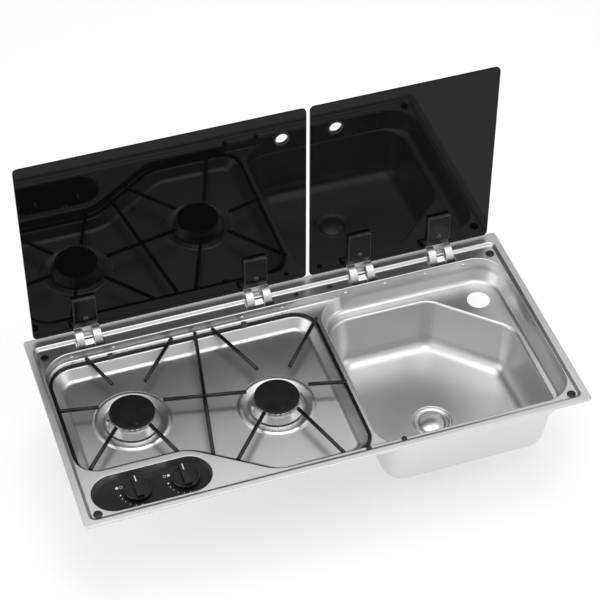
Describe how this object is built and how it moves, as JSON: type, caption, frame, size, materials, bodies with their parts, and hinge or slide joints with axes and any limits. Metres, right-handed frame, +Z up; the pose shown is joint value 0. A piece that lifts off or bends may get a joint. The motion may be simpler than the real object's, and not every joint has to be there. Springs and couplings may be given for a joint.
{
  "type": "hob and sink combination",
  "caption": "Built-in stainless steel hob and sink unit for a camper, with a two-part hinged black glass lid, wire pan support, gas burners and control knobs.",
  "frame": {"origin": "centre of the rim's top plane, over the middle of the worktop cut-out", "axes": "+X right along the rim, +Y back towards the lid hinges, +Z up"},
  "size_m": [0.9, 0.445, 0.6215],
  "materials": {
    "steel": "satin brushed stainless steel",
    "bright_steel": "polished",
    "arm_steel": "bright plated",
    "bracket_steel": "zinc plated",
    "black_glass": "gloss, smoked black",
    "black_moulding": "satin gloss",
    "panel_plastic": "satin gloss",
    "knob_plastic": "satin",
    "rubber": "matt",
    "black_enamel": "vitreous enamel, satin",
    "burner_alloy": "cast, matt",
    "brass": "turned",
    "pipe_steel": "drawn tube",
    "waste_plastic": "moulded"
  },
  "bodies": {
    "root": {"bracket_nuts": "bracket_steel", "bracket_screws": "bright_steel", "burner_body_1": "burner_alloy", "burner_body_2": "burner_alloy", "burner_cap_1": "black_enamel", "burner_cap_2": "black_enamel", "burner_crown_1": "burner_alloy", "burner_crown_2": "burner_alloy", "burner_trim_1": "bright_steel", "burner_trim_2": "bright_steel", "control_panel": "panel_plastic", "corner_bumpers": "rubber", "deck_pressing": "steel", "feed_pipe_1": "pipe_steel", "feed_pipe_2": "pipe_steel", "gas_manifold": "pipe_steel", "gas_valve_1": "brass", "gas_valve_2": "brass", "hinge_bracket_1": "bracket_steel", "hinge_bracket_2": "bracket_steel", "hinge_bracket_3": "bracket_steel", "hinge_bracket_4": "bracket_steel", "hinge_pins": "bracket_steel", "middle_bumpers": "rubber", "pan_support": "black_enamel", "pan_support_clips": "black_moulding", "rim_seal": "rubber", "sink_bowl": "steel", "thermocouple_1": "pipe_steel", "thermocouple_2": "pipe_steel", "waste_body": "waste_plastic", "waste_flange": "bright_steel", "waste_gasket": "rubber"},
    "left_lid": {"left_glass": "black_glass", "left_finger_ring": "rubber", "left_clamp_screws": "bright_steel", "left_clamp_plates": "black_moulding", "hinge_arm_1": "arm_steel", "hinge_arm_2": "arm_steel", "lid_clamp_1": "black_moulding", "lid_clamp_2": "black_moulding"},
    "right_lid": {"right_glass": "black_glass", "right_finger_ring": "rubber", "right_clamp_screws": "bright_steel", "right_clamp_plates": "black_moulding", "hinge_arm_3": "arm_steel", "hinge_arm_4": "arm_steel", "lid_clamp_3": "black_moulding", "lid_clamp_4": "black_moulding"},
    "valve_plunger_1": {"valve_plunger_1": "brass"},
    "valve_plunger_2": {"valve_plunger_2": "brass"},
    "knob_1": {"spindle_1": "pipe_steel", "knob_1": "knob_plastic"},
    "knob_2": {"spindle_2": "pipe_steel", "knob_2": "knob_plastic"},
    "waste_plug": {"waste_plug": "bright_steel"}
  },
  "joints": [
    {"name": "left_lid_hinge", "type": "hinge", "parent": "root", "child": "left_lid", "pos_m": [-0.1785, 0.2065, -0.01], "axis": [1, 0, 0], "range_deg": [0, 90]},
    {"name": "right_lid_hinge", "type": "hinge", "parent": "root", "child": "right_lid", "pos_m": [0.254, 0.2065, -0.01], "axis": [1, 0, 0], "range_deg": [0, 90]},
    {"name": "knob_1_push", "type": "slide", "parent": "root", "child": "valve_plunger_1", "axis": [0, 0, -1], "range_m": [0, 0.003], "stiffness_N_per_m": 800, "springref_m": -0.002},
    {"name": "knob_1_turn", "type": "hinge", "parent": "valve_plunger_1", "child": "knob_1", "pos_m": [-0.344, -0.157, -0.015], "axis": [0, 0, 1], "range_deg": [0, 190]},
    {"name": "knob_2_push", "type": "slide", "parent": "root", "child": "valve_plunger_2", "axis": [0, 0, -1], "range_m": [0, 0.003], "stiffness_N_per_m": 800, "springref_m": -0.002},
    {"name": "knob_2_turn", "type": "hinge", "parent": "valve_plunger_2", "child": "knob_2", "pos_m": [-0.2615, -0.157, -0.015], "axis": [0, 0, 1], "range_deg": [0, 190]},
    {"name": "waste_plug_lift", "type": "slide", "parent": "root", "child": "waste_plug", "axis": [0, 0, 1], "range_m": [0, 0.012]}
  ]
}
